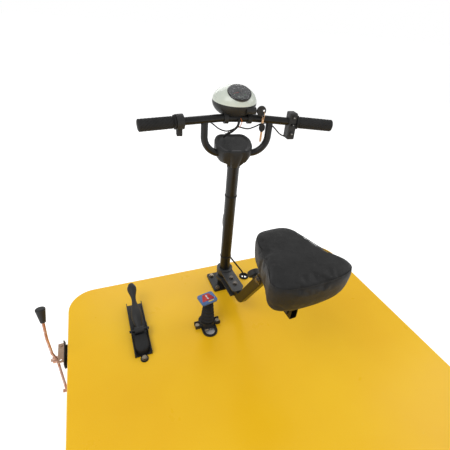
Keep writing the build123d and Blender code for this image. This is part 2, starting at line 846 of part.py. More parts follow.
def gear_gate():
    low = deck_under - 16
    x_range = (slot_x - 32, slot_x + 32)
    y_range = (slot_y - 62, slot_y + 62)
    gate = block(x_range, y_range, (low, deck_under))
    gate -= block((x_range[0] + 2, x_range[1] - 2), (y_range[0] - 1, y_range[1] + 1), (low + 2, deck_under + 1))
    gate -= block((slot_x - 11, slot_x + 11), (gear_y - 14, gear_y + 30), (low - 1, low + 3))
    return gate + post(slot_x, slot_y - 38, low, low + 6, 6)


# ---- parking brake ----

def brake_tray():
    y, z = brake_pivot
    half = brake_tray_width / 2
    x_range = (brake_x - half, brake_x + half)
    tray = block(x_range, brake_tray_y, (deck_top, deck_top + wall))
    tray += post(brake_x, brake_tray_y[0] - 12, deck_top, deck_top + wall, 14)
    for side in (-1, 1):
        edge = brake_x + side * half
        cheek = sorted((edge, edge - side * wall))
        tray += block(cheek, brake_tray_y, (deck_top, deck_top + 17))
        tray += block(cheek, (y - 22, y + 22), (deck_top, z + 12))
    for x, bolt_y in brake_bolts:
        tray -= post(x, bolt_y, deck_top - 1, deck_top + 10, bolt_radius + bolt_gap)
    pin = rod_x(x_range[0] - 5, x_range[1] + 5, y, z, bolt_radius - run_gap)
    tray -= rod_x(x_range[0] - 1, x_range[1] + 1, y, z, bolt_radius)
    return [tray, pin]


def brake_lever():
    y, z = brake_pivot
    along = Plane(origin=(brake_x, y, z), x_dir=(1, 0, 0),
                  z_dir=(0, cos(radians(brake_rise)), sin(radians(brake_rise))))
    stations = [(0, 15, 11), (40, 18, 15), (88, 16, 14), (118, 9, 9), (150, 11.5, 12), (brake_length, 12.5, 13)]
    lever = loft([along * Pos(0, 0, s) * Ellipse(a, b) for s, a, b in stations])
    lever += along * Pos(0, 0, brake_length) * scale(Sphere(1), by=(12.5, 13, 11))
    lever += rod_x(brake_x - 17, brake_x + 17, y, z, 13)
    return lever - rod_x(brake_x - 30, brake_x + 30, y, z, bolt_radius)


def brake_boot():
    y = brake_pivot[0] - 16
    half = brake_tray_width / 2 - wall - 3
    floor = deck_top + wall
    rear = brake_tray_y[0] + half + 6
    outline = Pos(0, (rear + y) / 2) * Rectangle(2 * half, y - rear) + Pos(0, rear) * Circle(half)
    boot = Pos(brake_x, 0, floor) * extrude(outline, 22)
    return fillet(boot.faces().sort_by(Axis.Z)[-1].edges(), 8)


# ---- side lever ----

def side_bracket():
    edge = -deck_width / 2
    y, z = side_pivot
    outline = Polyline((y - 40, z - 12), (y + 60, z - 12), (y + 60, z + 8), (y + 50, z + 30), (y + 40, z + 12),
                       (y - 40, z + 12), (y - 40, z - 12))
    fin = extrude(make_face(Plane.YZ * outline), -4)
    web = block((edge - 12, edge), (y - 40, y + 60), (z - 12, z - 8))
    return Pos(edge - 11, 0, 0) * fin + web


def side_strip():
    y, z = side_pivot
    edge = -deck_width / 2
    strip = block((edge - 35, edge - 15), (y - 26, y + 56), (z + 7, z + 10))
    strip += post(edge - 25, y + 46, z + 7, z + 13, 5)
    strip -= post(edge - 25, y - 14, z + 6, z + 11, 4)
    return [strip, rod_x(side_x - 18, edge - 15, y, z, bolt_radius - run_gap)]


def side_lever():
    y, z = side_pivot
    rise = [(side_x, y, z), (side_x - 2, y - 20, z + 60), (side_x - 1, y - 23, z + 142), (side_x, y - 4, z + 205)]
    lever = round_tube(FilletPolyline(*rise, radius=25), 4.5)
    lever += round_ends(rod_x(side_x - 12, side_x + 3, y, z, 12), 2)
    drop = [(side_x + 2, y, z), (side_x + 6, y - 22, z - 50), (side_x + 12, y - 50, z - 120)]
    lever += round_tube(FilletPolyline(*drop, radius=40), 4.5)
    lever += rod_x(side_x, side_x + 24, y - 50, z - 120, 6)
    return lever - rod_x(side_x - 20, side_x + 20, y, z, bolt_radius)


def side_knob():
    y, z = side_pivot
    start = Plane(origin=(side_x, y - 4, z + 200), x_dir=(1, 0, 0), z_dir=(0, 0.29, 0.957))
    knob = loft([start * Circle(8.5), start * Pos(0, 0, 50) * Circle(16)])
    knob = fillet(knob.faces().sort_by(Axis.Z)[-1].edges(), 4)
    return knob - side_lever()


brake_bolts = [(brake_x, brake_tray_y[0] - 12), (brake_x, brake_tray_y[1] - 24)]
gear_bolts = [(slot_x - 41, gear_y), (slot_x + 41, gear_y)]
seat_bolt_y = (-72, -108)

steer = Rot(0, 0, rest_steer)
swing = Rot(0, 0, rest_swing)

save("deck_plate", deck_plate())
save("side_rails", [side_rail(-1), side_rail(1)])
rear_member_y = (deck_rear + rail_inset, deck_rear + rail_inset + rear_member_width)
save("cross_members", [cross_member(front_member_y, front_member_height),
                       cross_member(rear_member_y, head_beam_height)])
save("steering_head", steering_head())
save("bearings", bearings())
save("column_tube", column_tube())
save("deck_bolts", deck_bolts())
save("column_grommet", column_grommet())
save("slot_trim", slot_trim())
save("column_cable", column_cable())
save("battery_tray", battery_tray())
save("battery_pack", battery_pack())
save("motor_controller", motor_controller())
save("charge_socket", charge_socket())
save("rear_axle_housing", rear_axle_housing())
save("drive_motor", drive_motor())
save("leaf_springs", leaf_springs())
for side, name in ((-1, "left"), (1, "right")):
    save(f"{name}_rim", rear_rim(side))
    save(f"{name}_tyre", tyre(side * rear_wheel_x, axle_y, rear_tyre_radius, rear_tyre_width, rear_rim_radius))

save("front_fork", front_fork(), steer)
save("front_axle", front_axle(), steer)
save("front_rim", front_rim(), steer)
save("front_tyre", tyre(0, 0, front_tyre_radius, front_tyre_width, front_rim_radius), steer)
save("stem_cover", stem_cover(), steer)
save("u_handle", u_handle(), steer)
save("handlebar", handlebar(), steer)
save("right_grip", right_grip(), steer)
save("throttle_grip", throttle_grip(), steer)
save("throttle_housing", throttle_housing(), steer)
save("switch_housing", switch_housing(), steer)
save("horn_button", switch_button(18, 6), steer)
save("lamp_button", switch_button(-36, 7), steer)
save("light_slider", light_slider(), steer)
save("pod_shell", pod_half(True), steer)
save("pod_base", pod_base(), steer)
save("dial", dial(), steer)
save("headlight", headlight(), steer)
save("ignition_key", ignition_key(), steer)
save("spare_key", spare_key(), steer)
save("bar_cables", bar_cables(), steer)

save("seat_bracket", seat_bracket(), swing)
save("seat_arm", seat_arm(), swing)
save("seat_bolts", seat_bolts(), swing)
save("seat_knob", seat_knob(), swing)
save("saddle", saddle(), swing)
save("saddle_pan", saddle_pan(), swing)

save("gear_housing", gear_housing())
save("gear_lever", gear_lever())
save("gear_plate", gear_plate())
save("gear_bellows", gear_bellows())
save("gear_gate", gear_gate())
save("brake_tray", brake_tray())
save("brake_lever", brake_lever())
save("brake_boot", brake_boot())
save("side_bracket", side_bracket())
save("side_strip", side_strip())
save("side_lever", side_lever())
save("side_knob", side_knob())
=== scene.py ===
import bpy
import bmesh
import json
from math import atan2, cos, degrees, hypot, pi, radians, sin, sqrt, tan
from mathutils import Matrix, Vector


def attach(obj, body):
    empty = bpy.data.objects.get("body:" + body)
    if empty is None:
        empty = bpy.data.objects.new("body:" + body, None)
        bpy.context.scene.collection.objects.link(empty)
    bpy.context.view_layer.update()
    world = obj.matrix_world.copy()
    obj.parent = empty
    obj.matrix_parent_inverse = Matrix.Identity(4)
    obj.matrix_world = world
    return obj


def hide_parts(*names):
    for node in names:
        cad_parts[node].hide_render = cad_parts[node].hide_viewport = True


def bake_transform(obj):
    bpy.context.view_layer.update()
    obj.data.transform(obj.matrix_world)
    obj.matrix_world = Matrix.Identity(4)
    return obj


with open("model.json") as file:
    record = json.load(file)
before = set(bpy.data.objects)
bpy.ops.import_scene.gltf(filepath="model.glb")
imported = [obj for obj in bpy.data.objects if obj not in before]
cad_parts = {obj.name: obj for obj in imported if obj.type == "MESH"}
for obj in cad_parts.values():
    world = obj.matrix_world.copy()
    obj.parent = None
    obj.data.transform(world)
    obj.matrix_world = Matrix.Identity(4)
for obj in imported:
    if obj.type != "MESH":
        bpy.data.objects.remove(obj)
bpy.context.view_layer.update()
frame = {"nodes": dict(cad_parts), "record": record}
cadNodes = frame["nodes"]
joints = {joint["name"]: joint for joint in frame["record"]["behaviour"]["joints"]}
print("frame loaded:", len(cadNodes), "nodes")

# the steered pieces and the seat are built square, then turned by their rest angles
steerAxis = joints["light_switch_slide"]["axis"]
steerTurn = Matrix.Rotation(atan2(steerAxis[1], steerAxis[0]), 4, "Z")
armAxis = joints["arm_knob_turn"]["axis"]
seatTurn = Matrix.Rotation(atan2(-armAxis[0], armAxis[1]), 4, "Z")
level = Matrix.Identity(4)


# ---- camera, floor and light ----

cameraView = {
    "place": (-0.44965, -0.99227, 1.58112),
    "yaw": 23.69,
    "pitch": 32.87,
    "roll": 4.57,
    "lens": 25.65,
}


def makeCamera():
    yaw, pitch, roll = (radians(cameraView[key]) for key in ("yaw", "pitch", "roll"))
    forward = Vector((sin(yaw) * cos(pitch), cos(yaw) * cos(pitch), -sin(pitch)))
    right = Vector((cos(yaw), -sin(yaw), 0))
    up = right.cross(forward)
    across = right * cos(roll) + up * sin(roll)
    above = up * cos(roll) - right * sin(roll)
    turn = Matrix((across, above, -forward)).transposed().to_4x4()
    data = bpy.data.cameras.new("viewCamera")
    data.sensor_width = 36
    data.lens = cameraView["lens"]
    data.clip_end = 200
    camera = bpy.data.objects.new("viewCamera", data)
    camera.matrix_world = Matrix.Translation(cameraView["place"]) @ turn
    bpy.context.scene.collection.objects.link(camera)
    bpy.context.scene.camera = camera


# brightness in watts, sizes and places in metres
studioLights = {
    "keySoftbox": {"place": (-2.6, -1.4, 4.2), "aim": (0, -0.2, 0.6), "size": 2.6, "power": 62},
    "fillSoftbox": {"place": (3.4, -0.8, 3.2), "aim": (0, -0.3, 0.6), "size": 2.6, "power": 34},
    "frontSoftbox": {"place": (0.6, 3.8, 3.0), "aim": (0, 0, 0.7), "size": 3.0, "power": 40},
}
worldGlow = {"seen": 1.0, "lighting": 0.52}


def makeLights():
    for name, light in studioLights.items():
        data = bpy.data.lights.new(name, "AREA")
        data.size = light["size"]
        data.energy = light["power"]
        lamp = bpy.data.objects.new(name, data)
        lamp.location = light["place"]
        look = Vector(light["aim"]) - Vector(light["place"])
        lamp.rotation_euler = look.to_track_quat("-Z", "Y").to_euler()
        bpy.context.scene.collection.objects.link(lamp)
    world = bpy.data.worlds.new("paleStudio")
    world.use_nodes = True
    glow = world.node_tree.nodes["Background"]
    path = world.node_tree.nodes.new("ShaderNodeLightPath")
    spread = world.node_tree.nodes.new("ShaderNodeMapRange")
    spread.inputs["To Min"].default_value = worldGlow["lighting"]
    spread.inputs["To Max"].default_value = worldGlow["seen"]
    world.node_tree.links.new(path.outputs["Is Camera Ray"], spread.inputs["Value"])
    world.node_tree.links.new(spread.outputs["Result"], glow.inputs["Strength"])
    glow.inputs["Color"].default_value = (1, 1, 1, 1)
    bpy.context.scene.world = world
    bpy.context.scene.view_settings.view_transform = "Standard"


# ---- material workshop ----

def newMaterial(name, roughness=0.5, metallic=0.0, coat=0.0, coatRoughness=0.1, sheen=0.0, specular=0.5):
    material = bpy.data.materials.new(name)
    material.use_nodes = True
    shader = material.node_tree.nodes["Principled BSDF"]
    shader.inputs["Roughness"].default_value = roughness
    shader.inputs["Metallic"].default_value = metallic
    shader.inputs["Coat Weight"].default_value = coat
    shader.inputs["Coat Roughness"].default_value = coatRoughness
    shader.inputs["Sheen Weight"].default_value = sheen
    shader.inputs["Specular IOR Level"].default_value = specular
    return material, shader


def addNode(material, kind, **values):
    node = material.node_tree.nodes.new(kind)
    for key, value in values.items():
        if key in node.inputs:
            node.inputs[key].default_value = value
        else:
            setattr(node, key, value)
    return node


def wire(material, fromSocket, toSocket):
    material.node_tree.links.new(fromSocket, toSocket)


def ramp(material, factor, stops):
    node = addNode(material, "ShaderNodeValToRGB")
    elements = node.color_ramp.elements
    while len(elements) < len(stops):
        elements.new(0.5)
    for element, (place, colour) in zip(elements, stops):
        element.position = place
        element.color = (*colour, 1) if len(colour) == 3 else colour
    wire(material, factor, node.inputs["Fac"])
    return node.outputs["Color"]


def grey(value):
    return (value, value, value)


def noiseField(material, scale, detail=4.0, stretch=(1, 1, 1), rough=0.55):
    place = addNode(material, "ShaderNodeTexCoord")
    mapping = addNode(material, "ShaderNodeMapping")
    mapping.inputs["Scale"].default_value = stretch
    wire(material, place.outputs["Object"], mapping.inputs["Vector"])
    noise = addNode(material, "ShaderNodeTexNoise")
    noise.inputs["Scale"].default_value = scale
    noise.inputs["Detail"].default_value = detail
    noise.inputs["Roughness"].default_value = rough
    wire(material, mapping.outputs["Vector"], noise.inputs["Vector"])
    return noise.outputs["Fac"]


def cellField(material, scale, feature="F1", stretch=(1, 1, 1)):
    place = addNode(material, "ShaderNodeTexCoord")
    mapping = addNode(material, "ShaderNodeMapping")
    mapping.inputs["Scale"].default_value = stretch
    wire(material, place.outputs["Object"], mapping.inputs["Vector"])
    cells = addNode(material, "ShaderNodeTexVoronoi", feature=feature)
    cells.inputs["Scale"].default_value = scale
    wire(material, mapping.outputs["Vector"], cells.inputs["Vector"])
    return cells.outputs["Distance"]


def mixColours(material, factor, first, second, blend="MIX"):
    node = addNode(material, "ShaderNodeMix", data_type="RGBA", blend_type=blend)
    for socket, value in ((node.inputs[0], factor), (node.inputs[6], first), (node.inputs[7], second)):
        if hasattr(value, "node"):
            wire(material, value, socket)
        elif isinstance(value, tuple):
            socket.default_value = (*value, 1)
        else:
            socket.default_value = value
    return node.outputs[2]


def addBump(material, shader, height, depth, strength=1.0, below=None):
    bump = addNode(material, "ShaderNodeBump")
    bump.inputs["Strength"].default_value = strength
    bump.inputs["Distance"].default_value = depth
    wire(material, height, bump.inputs["Height"])
    if below:
        wire(material, below, bump.inputs["Normal"])
    wire(material, bump.outputs["Normal"], shader.inputs["Normal"])
    return bump.outputs["Normal"]


def roughnessFrom(material, shader, field, low, high):
    spread = addNode(material, "ShaderNodeMapRange")
    spread.inputs["To Min"].default_value = low
    spread.inputs["To Max"].default_value = high
    wire(material, field, spread.inputs["Value"])
    wire(material, spread.outputs["Result"], shader.inputs["Roughness"])


def deckPaint():
    # thick yellow enamel: faint orange peel, slow colour drift and settled dust
    material, shader = newMaterial("deckPaint", 0.3, coat=0.05, coatRoughness=0.12, specular=0.3)
    yellows = [(0.3, (0.95, 0.53, 0.012)), (0.7, (1.0, 0.60, 0.015))]
    drift = ramp(material, noiseField(material, 2.2, 3), yellows)
    specks = ramp(material, noiseField(material, 260, 2), [(0.7, grey(0)), (0.8, grey(1))])
    dusty = mixColours(material, specks, drift, (0.92, 0.60, 0.09))
    wire(material, dusty, shader.inputs["Base Color"])
    roughnessFrom(material, shader, noiseField(material, 9, 5), 0.22, 0.38)
    addBump(material, shader, noiseField(material, 150, 2), 0.0006, 0.35)
    return material


def metalPaint(name, dark, light, roughness=0.35, coat=0.3):
    # sprayed metal: tiny orange peel, rubbed lighter patches and fine dust
    material, shader = newMaterial(name, roughness, coat=coat, coatRoughness=0.15, specular=0.35)
    tone = ramp(material, noiseField(material, 14, 6), [(0.35, dark), (0.75, light)])
    dust = ramp(material, noiseField(material, 420, 2), [(0.66, grey(0)), (0.8, grey(1))])
    pale = tuple(3.2 * part for part in light)
    wire(material, mixColours(material, dust, tone, pale), shader.inputs["Base Color"])
    roughnessFrom(material, shader, noiseField(material, 30, 4), roughness * 0.75, roughness * 1.35)
    addBump(material, shader, noiseField(material, 320, 2), 0.0004, 0.3)
    return material


def rubber(name, tone=0.011, rough=0.72):
    material, shader = newMaterial(name, rough, specular=0.35)
    colour = ramp(material, noiseField(material, 25, 6), [(0.3, grey(tone * 0.7)), (0.75, grey(tone * 1.7))])
    bloom = ramp(material, noiseField(material, 600, 2), [(0.62, grey(0)), (0.75, grey(1))])
    wire(material, mixColours(material, bloom, colour, grey(tone * 4)), shader.inputs["Base Color"])
    roughnessFrom(material, shader, noiseField(material, 50, 4), rough * 0.85, min(1, rough * 1.15))
    addBump(material, shader, noiseField(material, 900, 3), 0.0003, 0.4)
    return material


def saddleLeather():
    # black leather-look cover: pebble grain, creases and pale dust specks
    material, shader = newMaterial("saddleLeather", 0.55, sheen=0.03, specular=0.3)
    tone = ramp(material, noiseField(material, 18, 6), [(0.3, grey(0.007)), (0.7, grey(0.018))])
    dust = ramp(material, noiseField(material, 330, 3, rough=0.7), [(0.66, grey(0)), (0.71, grey(1))])
    patches = ramp(material, noiseField(material, 7, 4), [(0.4, grey(0)), (0.62, grey(0.8))])
    spots = mixColours(material, patches, grey(0.0), dust)
    wire(material, mixColours(material, spots, tone, grey(0.2)), shader.inputs["Base Color"])
    roughnessFrom(material, shader, noiseField(material, 60, 4), 0.42, 0.7)
    grain = addBump(material, shader, cellField(material, 520), 0.0007, 0.5)
    addBump(material, shader, noiseField(material, 34, 5), 0.0022, 0.35, below=grain)
    return material


def mouldedPlastic(name="mouldedPlastic", tone=0.022, rough=0.5):
    material, shader = newMaterial(name, rough, specular=0.32)
    colour = ramp(material, noiseField(material, 20, 5), [(0.3, grey(tone * 0.75)), (0.7, grey(tone * 1.4))])
    scuff = ramp(material, noiseField(material, 90, 6, (1, 6, 1)), [(0.66, grey(0)), (0.8, grey(1))])
    wire(material, mixColours(material, scuff, colour, grey(tone * 3)), shader.inputs["Base Color"])
    roughnessFrom(material, shader, noiseField(material, 45, 4), rough * 0.8, rough * 1.25)
    addBump(material, shader, cellField(material, 1500), 0.0003, 0.35)
    return material


def podGloss():
    material, shader = newMaterial("podGloss", 0.22, coat=0.4, coatRoughness=0.08)
    tone = ramp(material, noiseField(material, 12, 4), [(0.3, (0.60, 0.65, 0.57)), (0.7, (0.70, 0.75, 0.66))])
    specks = ramp(material, noiseField(material, 700, 2), [(0.7, grey(0)), (0.8, grey(1))])
    wire(material, mixColours(material, specks, tone, (0.42, 0.44, 0.38)), shader.inputs["Base Color"])
    roughnessFrom(material, shader, noiseField(material, 40, 4), 0.16, 0.34)
    addBump(material, shader, noiseField(material, 500, 2), 0.0002, 0.25)
    return material


def clearGlass(name="clearGlass", tint=(0.95, 0.97, 0.98), roughness=0.04):
    material, shader = newMaterial(name, roughness)
    shader.inputs["Transmission Weight"].default_value = 0.95
    shader.inputs["IOR"].default_value = 1.45
    deeper = tuple(0.97 * part for part in tint)
    hue = ramp(material, noiseField(material, 30, 3), [(0.3, tint), (0.8, deeper)])
    wire(material, hue, shader.inputs["Base Color"])
    addBump(material, shader, noiseField(material, 60, 2), 0.0001, 0.2)
    return material


def platedSteel(name, dark, light, hue=None, roughness=0.32):
    # plated steel: brushed streaks, mottled passivation colour and a few stains
    material, shader = newMaterial(name, roughness, metallic=0.9)
    tone = ramp(material, noiseField(material, 60, 6, (1, 5, 1)), [(0.3, dark), (0.7, light)])
    if hue:
        patch = ramp(material, noiseField(material, 45, 4), [(0.42, grey(0)), (0.62, grey(0.75))])
        tone = mixColours(material, patch, tone, hue)
    wire(material, tone, shader.inputs["Base Color"])
    roughnessFrom(material, shader, noiseField(material, 120, 4), roughness * 0.7, roughness * 1.5)
    addBump(material, shader, noiseField(material, 500, 3, (1, 8, 1)), 0.0002, 0.35)
    return material


def castMetal(name, dark, light, roughness=0.5):
    material, shader = newMaterial(name, roughness, metallic=0.85)
    tone = ramp(material, noiseField(material, 22, 7), [(0.35, dark), (0.7, light)])
    wire(material, tone, shader.inputs["Base Color"])
    roughnessFrom(material, shader, noiseField(material, 70, 5), roughness * 0.8, roughness * 1.4)
    addBump(material, shader, noiseField(material, 380, 5), 0.0005, 0.5)
    return material


def bluePlate():
    material, shader = newMaterial("bluePlate", 0.28, coat=0.5, coatRoughness=0.1)
    blues = [(0.3, (0.004, 0.07, 0.24)), (0.7, (0.010, 0.12, 0.36))]
    tone = ramp(material, noiseField(material, 60, 5), blues)
    wire(material, tone, shader.inputs["Base Color"])
    roughnessFrom(material, shader, noiseField(material, 90, 4), 0.2, 0.4)
    addBump(material, shader, noiseField(material, 400, 3), 0.0002, 0.3)
    return material


def printInk(name, colour):
    material, shader = newMaterial(name, 0.4)
    deeper = tuple(0.8 * part for part in colour)
    tone = ramp(material, noiseField(material, 300, 4), [(0.3, deeper), (0.7, colour)])
    wire(material, tone, shader.inputs["Base Color"])
    roughnessFrom(material, shader, noiseField(material, 200, 3), 0.3, 0.55)
    return material


def floorMaterial():
    material, shader = newMaterial("studioFloor", 0.9, specular=0.1)
    tone = ramp(material, noiseField(material, 0.6, 3), [(0.3, grey(0.93)), (0.7, grey(0.96))])
    wire(material, tone, shader.inputs["Base Color"])
    wire(material, tone, shader.inputs["Emission Color"])
    shader.inputs["Emission Strength"].default_value = 0.55
    return material


finishes = {
    "deck_paint": deckPaint(),
    "black_paint": metalPaint("blackPaint", grey(0.005), grey(0.011), 0.34, 0.08),
    "plate_paint": metalPaint("platePaint", grey(0.035), grey(0.06), 0.45, 0.2),
    "black_rubber": rubber("blackRubber"),
    "saddle_cover": saddleLeather(),
    "moulded_plastic": mouldedPlastic(),
    "pod_plastic": podGloss(),
    "dial_face": mouldedPlastic("dialFace", 0.09, 0.4),
    "lamp_glass": clearGlass(),
    "blue_plate": bluePlate(),
    "zinc": platedSteel("yellowZinc", (0.62, 0.66, 0.42), (0.80, 0.82, 0.66), (0.78, 0.52, 0.56)),
    "copper_zinc": platedSteel("copperZinc", (0.40, 0.17, 0.09), (0.66, 0.36, 0.24), (0.60, 0.45, 0.42)),
    "bolt_steel": platedSteel("boltSteel", (0.30, 0.25, 0.17), (0.55, 0.47, 0.35), (0.46, 0.34, 0.26)),
    "key_steel": platedSteel("keySteel", (0.55, 0.50, 0.40), (0.76, 0.72, 0.62)),
    "tyre_rubber": rubber("tyreRubber", 0.014, 0.8),
    "battery_case": mouldedPlastic("batteryCase", 0.03, 0.45),
    "alloy": castMetal("castAlloy", grey(0.42), grey(0.6)),
    "spring_steel": castMetal("springSteel", grey(0.03), grey(0.08), 0.45),
}
slotOf = {entry["node"]: entry["material_slot"] for entry in frame["record"]["subparts"]}


def finishCadNodes():
    for name, node in cadNodes.items():
        node.data.materials.clear()
        node.data.materials.append(finishes[slotOf[name]])
    print("cad nodes finished:", len(cadNodes))


def makeFloor():
    mesh = bpy.data.meshes.new("studioFloor")
    reach = 60
    corners = [(-reach, -reach, 0), (reach, -reach, 0), (reach, reach, 0), (-reach, reach, 0)]
    mesh.from_pydata(corners, [], [(0, 1, 2, 3)])
    mesh.materials.append(floorMaterial())
    floor = bpy.data.objects.new("studioFloor", mesh)
    bpy.context.scene.collection.objects.link(floor)


# ---- shape workshop ----

def finishPiece(obj, body, turn=level, smoothAngle=None):
    # turns a piece from its square frame to its rest place, then ties it to its body
    obj.data.transform(turn)
    if turn.determinant() < 0:
        obj.data.flip_normals()
    for face in obj.data.polygons:
        face.use_smooth = True
    if smoothAngle:
        obj.data.set_sharp_from_angle(angle=radians(smoothAngle))
    bpy.context.scene.collection.objects.link(obj)
    if body:
        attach(obj, body)
    return obj


def meshPiece(name, points, faces, material):
    mesh = bpy.data.meshes.new(name)
    mesh.from_pydata([tuple(point) for point in points], [], faces)
    mesh.materials.append(material)
    mesh.validate()
    work = bmesh.new()
    work.from_mesh(mesh)
    bmesh.ops.recalc_face_normals(work, faces=work.faces)
    work.to_mesh(mesh)
    work.free()
    return bpy.data.objects.new(name, mesh)


def ringsPiece(name, rings, material, capStart=True, capEnd=True, loop=False):
    # skins a row of closed rings that all have the same number of points
    count = len(rings[0])
    points = [point for ring in rings for point in ring]
    faces = []
    rows = len(rings) if loop else len(rings) - 1
    for row in range(rows):
        low, high = row * count, ((row + 1) % len(rings)) * count
        for step in range(count):
            after = (step + 1) % count
            faces.append((low + step, low + after, high + after, high + step))
    if not loop and capStart:
        faces.append(tuple(range(count)))
    if not loop and capEnd:
        faces.append(tuple(range(len(points) - count, len(points))))
    return meshPiece(name, points, faces, material)


def axisFrame(start, end):
    along = (Vector(end) - Vector(start)).normalized()
    side = along.cross(Vector((0, 0, 1)))
    if side.length < 1e-3:
        side = Vector((1, 0, 0))
    side.normalize()
    return along, side, along.cross(side)


def turnedRings(start, end, radiusAt, lengthSteps, roundSteps):
    # rings about an axis whose radius depends on the share along it and the angle
    _, side, up = axisFrame(start, end)
    span = Vector(end) - Vector(start)
    rings = []
    for row in range(lengthSteps + 1):
        share = row / lengthSteps
        middle = Vector(start) + span * share
        ring = []
        for step in range(roundSteps):
            angle = 2 * pi * step / roundSteps
            reach = radiusAt(share, angle)
            ring.append(middle + side * reach * cos(angle) + up * reach * sin(angle))
        rings.append(ring)
    return rings


def tubeAlong(name, points, radius, material, steps=14, roundSteps=12):
    # a smooth tube through the points
    dense = curvePoints(points, steps)
    rings = []
    side = None
    for index, place in enumerate(dense):
        ahead = dense[min(index + 1, len(dense) - 1)] - dense[max(index - 1, 0)]
        ahead.normalize()
        if side is None:
            side = ahead.orthogonal().normalized()
        side = (side - ahead * side.dot(ahead)).normalized()
        up = ahead.cross(side)
        turn = [2 * pi * step / roundSteps for step in range(roundSteps)]
        rings.append([place + side * radius * cos(angle) + up * radius * sin(angle) for angle in turn])
    return ringsPiece(name, rings, material)


def curvePoints(points, steps, closed=False):
    places = [Vector(point) for point in points]
    count = len(places)
    dense = []
    for index in range(count if closed else count - 1):
        if closed:
            a, b, c, d = (places[(index + step) % count] for step in (-1, 0, 1, 2))
        else:
            b, c = places[index], places[index + 1]
            a = places[index - 1] if index else b * 2 - c
            d = places[index + 2] if index + 2 < count else c * 2 - b
        for step in range(steps):
            t = step / steps
            dense.append(0.5 * (2 * b + (c - a) * t + (2 * a - 5 * b + 4 * c - d) * t * t
                                + (3 * b - a - 3 * c + d) * t ** 3))
    if not closed:
        dense.append(places[-1])
    return dense


def platePiece(name, outline, thickness, material, place):
    # a flat shape in a local frame, raised by its thickness
    count = len(outline)
    low = [place @ Vector((x, y, 0)) for x, y in outline]
    high = [place @ Vector((x, y, thickness)) for x, y in outline]
    faces = [tuple(range(count)), tuple(range(count, 2 * count))]
    faces += [(i, (i + 1) % count, count + (i + 1) % count, count + i) for i in range(count)]
    return meshPiece(name, low + high, faces, material)


# ---- saddle ----

saddleShape = {
    "centre": (0.006, -0.412),
    "turn": 0.5,
    "bottom": 0.945,
    "top": 1.0465,
    "inflation": 4.0,
    "voxel": 0.0055,
    "sagCap": 0.0035,
}
saddleHalf = [(0, 130), (40, 126), (64, 106), (76, 75), (84, 45), (92, 13), (106, -30), (120, -62),
              (127, -82), (122, -104), (100, -118), (60, -127), (0, -130)]
saddleLevels = [(0.0, 0.86), (0.03, 0.905), (0.14, 0.94), (0.4, 0.972), (0.68, 0.99), (0.82, 0.985),
                (0.91, 0.962), (0.965, 0.915), (0.99, 0.84), (1.0, 0.72), (1.01, 0.5), (1.015, 0.25)]


def saddleOutline():
    left = [(-x, y) for x, y in saddleHalf[-2:0:-1]]
    return curvePoints([(x / 1000, y / 1000, 0) for x, y in saddleHalf + left], 6, closed=True)


def saddlePlace():
    turn = Matrix.Rotation(radians(saddleShape["turn"]), 4, "Z")
    return seatTurn @ Matrix.Translation((*saddleShape["centre"], 0)) @ turn


def saddleRing(share, grow, lift=0.0):
    low, high = saddleShape["bottom"], saddleShape["top"]
    ring = []
    for point in saddleOutline():
        # the hem rises a little towards the nose and dips between its corners
        hem = (1 - share) * 0.010 * max(0, point.y) / 0.13
        ring.append(Vector((point.x * grow, point.y * grow, low + (high - low) * share + hem + lift)))
    return ring


def softenSaddle(cushion):
    # one cloth pass: gentle air pressure over a fine even mesh, hem pinned, motion capped
    scene = bpy.context.scene
    bpy.context.view_layer.objects.active = cushion
    remesh = cushion.modifiers.new("evenMesh", "REMESH")
    remesh.mode = "VOXEL"
    remesh.voxel_size = saddleShape["voxel"]
    swapMesh(cushion)
    rest = [vertex.co.copy() for vertex in cushion.data.vertices]
    group = cushion.vertex_groups.new(name="hem")
    hemTop = saddleShape["bottom"] + 0.014
    group.add([vertex.index for vertex in cushion.data.vertices if vertex.co.z < hemTop], 1.0, "REPLACE")
    cloth = cushion.modifiers.new("cover", "CLOTH")
    settings = cloth.settings
    settings.quality = 6
    settings.mass = 0.25
    settings.tension_stiffness = 18
    settings.compression_stiffness = 18
    settings.bending_stiffness = 4
    settings.use_pressure = True
    settings.uniform_pressure_force = saddleShape["inflation"]
    settings.vertex_group_mass = "hem"
    settings.effector_weights.gravity = 0
    settings.shrink_min = -0.02
    cloth.point_cache.frame_start = 1
    cloth.point_cache.frame_end = 20
    for number in range(1, 21):
        scene.frame_set(number)
    swapMesh(cushion)
    scene.frame_set(1)
    for vertex, before in zip(cushion.data.vertices, rest):
        moved = vertex.co - before
        if moved.length > saddleShape["sagCap"]:
            vertex.co = before + moved.normalized() * saddleShape["sagCap"]


def swapMesh(obj):
    # puts the evaluated shape in place of the mesh and drops the modifiers
    view = bpy.context.evaluated_depsgraph_get()
    made = bpy.data.meshes.new_from_object(obj.evaluated_get(view))
    obj.modifiers.clear()
    obj.data = made


def makeSaddle():
    rings = [saddleRing(share, grow) for share, grow in saddleLevels]
    cushion = ringsPiece("saddleCushion", rings, finishes["saddle_cover"])
    cushion.data.transform(saddlePlace())
    bpy.context.scene.collection.objects.link(cushion)
    softenSaddle(cushion)
    bpy.context.scene.collection.objects.unlink(cushion)
    smooth = cushion.modifiers.new("roundOff", "SUBSURF")
    smooth.levels = smooth.render_levels = 1
    finishPiece(cushion, "seat")
    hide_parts("saddle")
    place = saddlePlace()
    seamLine = [place @ point for point in saddleRing(0.895, 0.975)]
    seam = ringsPiece("saddleSeam", closedTube(seamLine, 0.0011), finishes["saddle_cover"], loop=True)
    finishPiece(seam, "seat")
    print("saddle made")


